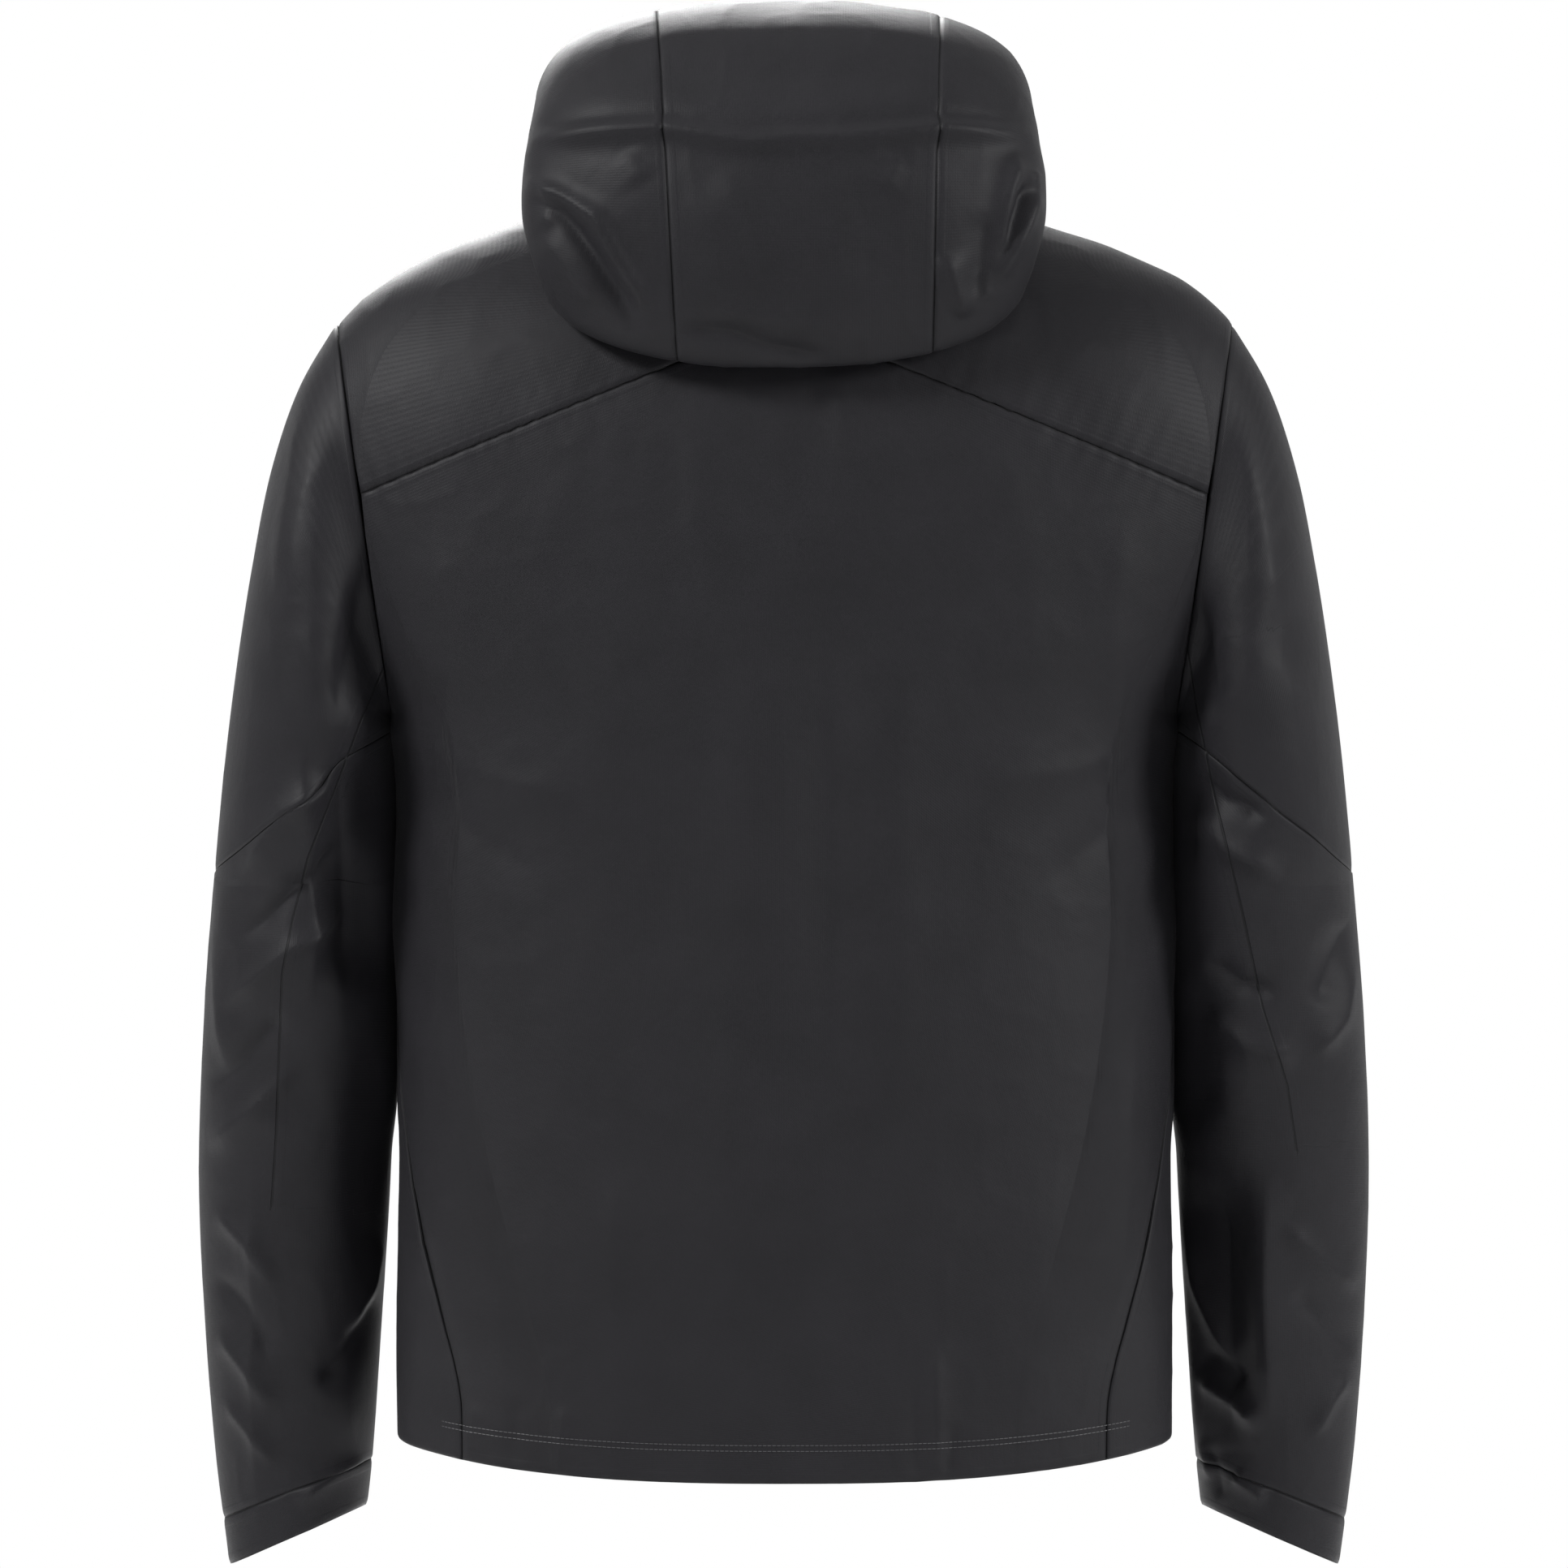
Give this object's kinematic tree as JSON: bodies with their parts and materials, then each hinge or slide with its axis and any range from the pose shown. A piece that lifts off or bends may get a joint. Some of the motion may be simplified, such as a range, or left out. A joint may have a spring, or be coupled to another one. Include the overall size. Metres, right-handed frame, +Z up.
{
  "type": "hooded hardshell jacket",
  "caption": "Hooded waterproof shell jacket with panelled hood, shoulder yoke, articulated sleeves, adjustable cuffs, front zip and hand pockets.",
  "frame": {"origin": "underside of the hanger loop's top strap, at the centre back of the neck", "axes": "+Z up, -Y towards the wearer's front, +X towards the wearer's left"},
  "size_m": [0.7074, 0.2776, 0.9448],
  "materials": {
    "shell": "matt black woven face fabric of a three-layer laminate",
    "lining": "fine dark tricot backing",
    "zip_tape": "coated zip tape and webbing, low sheen",
    "zip_chain": "moulded nylon coil",
    "metal": "black lacquered zinc, satin",
    "pull": "moulded soft grip",
    "lock": "moulded acetal, satin",
    "spring": "plain steel wire",
    "cord": "braided elastic shock cord",
    "hook_and_loop": "short-napped loop and moulded hook"
  },
  "bodies": {
    "torso": {"back_panel": "shell", "yoke": "shell", "front_panel_left": "shell", "front_panel_right": "shell", "collar": "shell", "chin_guard": "lining", "hanger_loop": "zip_tape", "neck_label": "lining", "zip_tape_left": "zip_tape", "zip_tape_right": "zip_tape", "zip_teeth_left": "zip_chain", "zip_teeth_right": "zip_chain", "zip_box": "metal", "zip_pin": "metal", "storm_flap": "lining", "pocket_zip_left": "zip_tape", "pocket_zip_right": "zip_tape", "pocket_bag_left": "lining", "pocket_bag_right": "lining", "hem_facing": "lining", "hem_cord": "cord", "hem_left_lock_body": "lock", "hem_left_lock_spring": "spring", "hem_right_lock_body": "lock", "hem_right_lock_spring": "spring"},
    "hood": {"hood_center": "shell", "hood_brim": "shell", "hood_left": "shell", "hood_right": "shell", "hood_cord": "cord", "hood_left_lock_body": "lock", "hood_left_lock_spring": "spring", "hood_right_lock_body": "lock", "hood_right_lock_spring": "spring"},
    "zip_slider": {"zip_slider": "metal"},
    "zip_pull": {"zip_pull": "pull"},
    "pocket_left_slider": {"pocket_left_slider": "metal"},
    "pocket_left_pull": {"pocket_left_pull": "pull"},
    "pocket_right_slider": {"pocket_right_slider": "metal"},
    "pocket_right_pull": {"pocket_right_pull": "pull"},
    "hem_left_lock_plunger": {"hem_left_lock_plunger": "lock"},
    "hem_right_lock_plunger": {"hem_right_lock_plunger": "lock"},
    "hood_left_lock_plunger": {"hood_left_lock_plunger": "lock"},
    "hood_right_lock_plunger": {"hood_right_lock_plunger": "lock"},
    "sleeve_left": {"upper_sleeve_left": "shell", "elbow_panel_left": "shell"},
    "forearm_left": {"lower_sleeve_left": "shell", "cuff_left": "shell", "cuff_loop_patch_left": "hook_and_loop"},
    "cuff_tab_left": {"cuff_tab_left": "hook_and_loop"},
    "sleeve_right": {"upper_sleeve_right": "shell", "elbow_panel_right": "shell"},
    "forearm_right": {"lower_sleeve_right": "shell", "cuff_right": "shell", "cuff_loop_patch_right": "hook_and_loop"},
    "cuff_tab_right": {"cuff_tab_right": "hook_and_loop"}
  },
  "joints": [
    {"name": "shoulder_left_raise", "type": "hinge", "parent": "torso", "child": "sleeve_left", "pos_m": [0.272, -0.06857, -0.089], "axis": [0, -1, 0], "range_deg": [0, 40]},
    {"name": "elbow_left_bend", "type": "hinge", "parent": "sleeve_left", "child": "forearm_left", "pos_m": [0.294, -0.08257, -0.48], "axis": [-1, 0, 0], "range_deg": [0, 90], "deforming": ["elbow_panel_left"]},
    {"name": "cuff_tab_left_peel", "type": "hinge", "parent": "forearm_left", "child": "cuff_tab_left", "pos_m": [0.3302, -0.1627, -0.7641], "axis": [0.0724, 0.0633, 0.9954], "range_deg": [0, 70]},
    {"name": "shoulder_right_raise", "type": "hinge", "parent": "torso", "child": "sleeve_right", "pos_m": [-0.272, -0.06857, -0.089], "axis": [0, 1, 0], "range_deg": [0, 40]},
    {"name": "elbow_right_bend", "type": "hinge", "parent": "sleeve_right", "child": "forearm_right", "pos_m": [-0.294, -0.08257, -0.48], "axis": [-1, 0, 0], "range_deg": [0, 90], "deforming": ["elbow_panel_right"]},
    {"name": "cuff_tab_right_peel", "type": "hinge", "parent": "forearm_right", "child": "cuff_tab_right", "pos_m": [-0.3302, -0.1627, -0.7641], "axis": [0.0724, -0.0633, -0.9954], "range_deg": [0, 70]},
    {"name": "hood_tilt", "type": "hinge", "parent": "torso", "child": "hood", "pos_m": [0, -0.12857, 0.01], "axis": [1, 0, 0], "range_deg": [0, 16], "deforming": ["hood_left", "hood_right"]},
    {"name": "zip_slide", "type": "slide", "parent": "torso", "child": "zip_slider", "axis": [0, -0.0351, -0.9994], "range_m": [0, 0.7]},
    {"name": "zip_pull_swing", "type": "hinge", "parent": "zip_slider", "child": "zip_pull", "pos_m": [0, -0.16527, -0.00585], "axis": [-1, 0, 0], "range_deg": [0, 150]},
    {"name": "pocket_left_slide", "type": "slide", "parent": "torso", "child": "pocket_left_slider", "axis": [0.1356, 0.0019, -0.9908], "range_m": [0, 0.17]},
    {"name": "pocket_left_pull_swing", "type": "hinge", "parent": "pocket_left_slider", "child": "pocket_left_pull", "pos_m": [0.12395, -0.17131, -0.43481], "axis": [-0.963, -0.235, -0.1322], "range_deg": [0, 150]},
    {"name": "pocket_right_slide", "type": "slide", "parent": "torso", "child": "pocket_right_slider", "axis": [-0.1356, 0.0019, -0.9908], "range_m": [0, 0.17]},
    {"name": "pocket_right_pull_swing", "type": "hinge", "parent": "pocket_right_slider", "child": "pocket_right_pull", "pos_m": [-0.12395, -0.17131, -0.43481], "axis": [-0.963, 0.235, 0.1322], "range_deg": [0, 150]},
    {"name": "hem_left_lock_press", "type": "slide", "parent": "torso", "child": "hem_left_lock_plunger", "axis": [-0.1152, -0.0719, -0.9907], "range_m": [0, 0.003], "stiffness_N_per_m": 300, "springref_m": -0.002, "deforming": ["hem_left_lock_spring"]},
    {"name": "hem_right_lock_press", "type": "slide", "parent": "torso", "child": "hem_right_lock_plunger", "axis": [0.1152, -0.0719, -0.9907], "range_m": [0, 0.003], "stiffness_N_per_m": 300, "springref_m": -0.002, "deforming": ["hem_right_lock_spring"]},
    {"name": "hood_left_lock_press", "type": "slide", "parent": "hood", "child": "hood_left_lock_plunger", "axis": [-0.6506, -0.7097, -0.2702], "range_m": [0, 0.003], "stiffness_N_per_m": 300, "springref_m": -0.002, "deforming": ["hood_left_lock_spring"]},
    {"name": "hood_right_lock_press", "type": "slide", "parent": "hood", "child": "hood_right_lock_plunger", "axis": [0.6506, -0.7097, -0.2702], "range_m": [0, 0.003], "stiffness_N_per_m": 300, "springref_m": -0.002, "deforming": ["hood_right_lock_spring"]}
  ]
}
